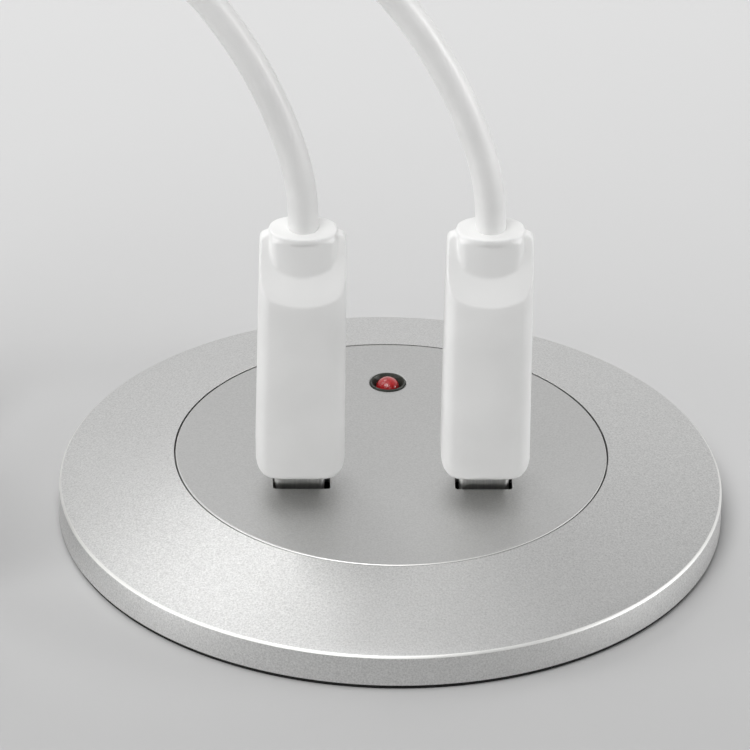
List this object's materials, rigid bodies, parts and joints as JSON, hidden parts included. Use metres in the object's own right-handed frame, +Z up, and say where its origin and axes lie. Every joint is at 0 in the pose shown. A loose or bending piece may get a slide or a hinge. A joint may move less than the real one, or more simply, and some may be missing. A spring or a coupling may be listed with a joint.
{
  "type": "in-desk usb charger",
  "caption": "Round metal charger set into a desk hole, with a barrel, clamp washer and ring nut below and white leads in its top ports.",
  "frame": {"origin": "centre of the desk hole, on the desk surface under the flange gasket", "axes": "+Z up out of the desk along the barrel's axis, -Y towards the front with the two ports, +X to the right seen from the front"},
  "size_m": [0.2618, 0.11, 0.1822],
  "materials": {
    "bezel_ring": "bead-blasted, clear anodised",
    "face_plate": "bead-blasted, clear anodised",
    "flange_gasket": "closed-cell foam rubber",
    "barrel": "moulded, lightly textured",
    "bezel_screws": "zinc plated",
    "clamp_washer": "zinc plated sheet",
    "ring_nut": "moulded, lightly textured",
    "rear_cover": "moulded",
    "cover_screws": "zinc plated",
    "mains_inlet": "moulded",
    "inlet_pins": "nickel over brass",
    "inlet_wires": "insulated wire",
    "port_board": "glass-fibre board with solder mask",
    "port_board_screws": "zinc plated",
    "main_board": "glass-fibre board with solder mask",
    "transformer_core": "ferrite",
    "transformer_winding": "copper under yellow tape",
    "bulk_capacitors": "sleeved aluminium can",
    "output_capacitors": "sleeved aluminium can",
    "input_choke": "enamelled copper on a ferrite ring",
    "film_capacitor": "moulded box",
    "fuse": "glass tube with plated holders",
    "driver_chips": "moulded packages",
    "heat_sink": "extruded, mill finish",
    "usb_socket": "drawn stainless shell",
    "socket_tongue": "moulded",
    "power_led": "diffused red resin",
    "led_clip": "moulded",
    "led_legs": "tinned wire",
    "plug_body": "soft white thermoplastic",
    "plug_nose": "drawn steel, dark plated",
    "cord": "white jacket, satin"
  },
  "bodies": {
    "charger": {"bezel_ring": "bezel_ring", "face_plate": "face_plate", "flange_gasket": "flange_gasket", "barrel": "barrel", "bezel_screws": "bezel_screws", "rear_cover": "rear_cover", "cover_screws": "cover_screws", "mains_inlet": "mains_inlet", "inlet_pins": "inlet_pins", "inlet_wires": "inlet_wires", "port_board": "port_board", "port_board_screws": "port_board_screws", "main_board": "main_board", "transformer_core": "transformer_core", "transformer_winding": "transformer_winding", "bulk_capacitors": "bulk_capacitors", "output_capacitors": "output_capacitors", "input_choke": "input_choke", "film_capacitor": "film_capacitor", "fuse": "fuse", "driver_chips": "driver_chips", "heat_sink": "heat_sink", "usb_socket_left": "usb_socket", "usb_socket_right": "usb_socket", "socket_tongue_left": "socket_tongue", "socket_tongue_right": "socket_tongue", "power_led": "power_led", "led_clip": "led_clip", "led_legs": "led_legs", "coil_left": "cord", "coil_right": "cord", "far_plug_body_left": "plug_body", "far_plug_body_right": "plug_body", "far_plug_nose_left": "plug_nose", "far_plug_nose_right": "plug_nose"},
    "lead_left": {"plug_body_left": "plug_body", "plug_nose_left": "plug_nose", "cord_left": "cord"},
    "lead_right": {"plug_body_right": "plug_body", "plug_nose_right": "plug_nose", "cord_right": "cord"},
    "washer": {"clamp_washer": "clamp_washer"},
    "nut": {"ring_nut": "ring_nut"}
  },
  "joints": [
    {"name": "left_plug_pull", "type": "slide", "parent": "charger", "child": "lead_left", "axis": [0, 0, 1], "range_m": [0, 0.012]},
    {"name": "right_plug_pull", "type": "slide", "parent": "charger", "child": "lead_right", "axis": [0, 0, 1], "range_m": [0, 0.012]},
    {"name": "washer_travel", "type": "slide", "parent": "charger", "child": "washer", "axis": [0, 0, 1], "range_m": [-0.0121, 0.0121]},
    {"name": "ring_nut_turn", "type": "hinge", "parent": "washer", "child": "nut", "pos_m": [0, 0, -0.034], "axis": [0, 0, 1], "range_deg": [-1080, 1080]}
  ],
  "couplings": [
    {"joint": "washer_travel", "follows": "ring_nut_turn", "m_per_rad": 0.00063662}
  ]
}
